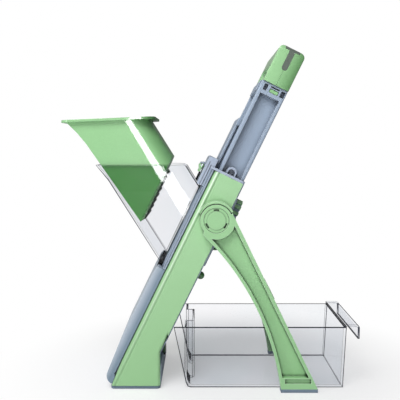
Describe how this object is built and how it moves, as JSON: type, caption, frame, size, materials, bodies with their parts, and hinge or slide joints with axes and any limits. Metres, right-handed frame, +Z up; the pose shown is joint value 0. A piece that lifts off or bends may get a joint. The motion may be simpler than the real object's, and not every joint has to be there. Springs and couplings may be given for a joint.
{
  "type": "mandoline slicer",
  "caption": "Stand-up mandoline slicer: a spring-return carriage carries the blade past a clear food chute with a pusher, and slices fall into a clear tray behind.",
  "frame": {"origin": "middle of the base foot's underside, on the table", "axes": "+X from the chute side to the tray side, +Y across the machine to its left side panel, +Z up"},
  "size_m": [0.3278, 0.1356, 0.3731],
  "materials": {
    "green_body": "fine matte moulded grain",
    "green_grip": "satin moulded",
    "green_pusher": "satin moulded",
    "dark_teeth": "matte",
    "dark_green_knob": "satin",
    "slate_frame": "satin moulded",
    "light_collar": "satin moulded",
    "slate_carriage": "satin moulded",
    "blade_steel": "brushed",
    "steel_parts": "bright wire and turned pins",
    "soft_inlay": "soft matte",
    "rubber_feet": "matte",
    "black_stop": "matte",
    "clear_chute": "clear moulded plastic, smoky at the edges",
    "clear_tray": "clear moulded plastic"
  },
  "bodies": {
    "base": {"right_side_panel": "green_body", "left_side_panel": "green_body", "main_frame": "slate_frame", "rear_frame": "slate_frame", "top_collar": "light_collar", "front_cover": "light_collar", "base_block": "slate_frame", "base_foot_pad": "rubber_feet", "tray_stop": "dark_green_knob", "tray_stop_pad": "black_stop", "right_leg_axle": "steel_parts", "left_leg_axle": "steel_parts", "right_pivot_cap": "green_body", "left_pivot_cap": "green_body", "latch_pin": "steel_parts", "right_return_spring": "steel_parts", "left_return_spring": "steel_parts"},
    "stand": {"right_leg": "green_body", "left_leg": "green_body", "leg_cross_bar": "green_body", "right_leg_pad": "rubber_feet", "left_leg_pad": "rubber_feet"},
    "carriage": {"right_rail": "slate_carriage", "left_rail": "slate_carriage", "carriage_bridge": "slate_carriage", "blade_carrier": "slate_carriage", "slicing_plate": "green_grip", "main_blade": "blade_steel", "blade_screws": "steel_parts", "handle_front_shell": "green_grip", "handle_rear_shell": "green_grip", "handle_inlay": "soft_inlay", "handle_catches": "green_grip", "spring_pins": "steel_parts"},
    "ramp": {"ramp_plate": "green_grip"},
    "thickness_dial": {"thickness_dial": "slate_carriage", "dial_grips": "green_grip", "dial_shaft": "steel_parts"},
    "cut_knob": {"cut_style_knob": "dark_green_knob"},
    "strip_cutter": {"strip_blade_frame": "slate_carriage", "strip_blades": "blade_steel"},
    "lock": {"lock_knob": "dark_green_knob"},
    "chute": {"chute": "clear_chute"},
    "latch": {"chute_latch": "green_grip"},
    "pusher": {"pusher_shell": "green_pusher", "pusher_teeth": "dark_teeth"},
    "tray": {"tray": "clear_tray"}
  },
  "joints": [
    {"name": "carriage_slide", "type": "slide", "parent": "base", "child": "carriage", "axis": [0.4384, 0, 0.8988], "range_m": [-0.083, 0], "stiffness_N_per_m": 120, "springref_m": 0.04, "deforming": ["right_return_spring", "left_return_spring"]},
    {"name": "stand_fold", "type": "hinge", "parent": "base", "child": "stand", "pos_m": [0.0884, 0, 0.18786], "axis": [0, 1, 0], "range_deg": [0, 46]},
    {"name": "thickness_turn", "type": "hinge", "parent": "carriage", "child": "thickness_dial", "pos_m": [0.10547, 0, 0.18888], "axis": [0.8988, 0, -0.4384], "range_deg": [-120, 150]},
    {"name": "ramp_slide", "type": "slide", "parent": "carriage", "child": "ramp", "axis": [0.8988, 0, -0.4384], "range_m": [-0.0033, 0.0041]},
    {"name": "cut_style_turn", "type": "hinge", "parent": "carriage", "child": "cut_knob", "pos_m": [0.08925, 0, 0.15562], "axis": [0.8988, 0, -0.4384], "range_deg": [0, 90]},
    {"name": "strip_slide", "type": "slide", "parent": "ramp", "child": "strip_cutter", "axis": [0.8988, 0, -0.4384], "range_m": [-0.0045, 0]},
    {"name": "lock_turn", "type": "hinge", "parent": "base", "child": "lock", "pos_m": [0.07032, -0.048, 0.12592], "axis": [0.8988, 0, -0.4384], "range_deg": [0, 90]},
    {"name": "chute_tilt", "type": "hinge", "parent": "base", "child": "chute", "pos_m": [0.02495, 0, 0.13191], "axis": [0, 1, 0], "range_deg": [-28, 0]},
    {"name": "latch_lift", "type": "hinge", "parent": "base", "child": "latch", "pos_m": [0.07312, 0, 0.24527], "axis": [0, 1, 0], "range_deg": [0, 35], "stiffness_Nm_per_rad": 0.01, "springref_deg": -17.19},
    {"name": "pusher_slide", "type": "slide", "parent": "chute", "child": "pusher", "axis": [0.5664, 0, -0.8241], "range_m": [-0.11, 0.044]},
    {"name": "tray_slide", "type": "slide", "parent": "base", "child": "tray", "axis": [1, 0, 0], "range_m": [0, 0.2]}
  ],
  "couplings": [
    {"joint": "ramp_slide", "follows": "thickness_turn", "m_per_rad": 0.001528},
    {"joint": "strip_slide", "follows": "cut_style_turn", "m_per_rad": -0.002801}
  ]
}
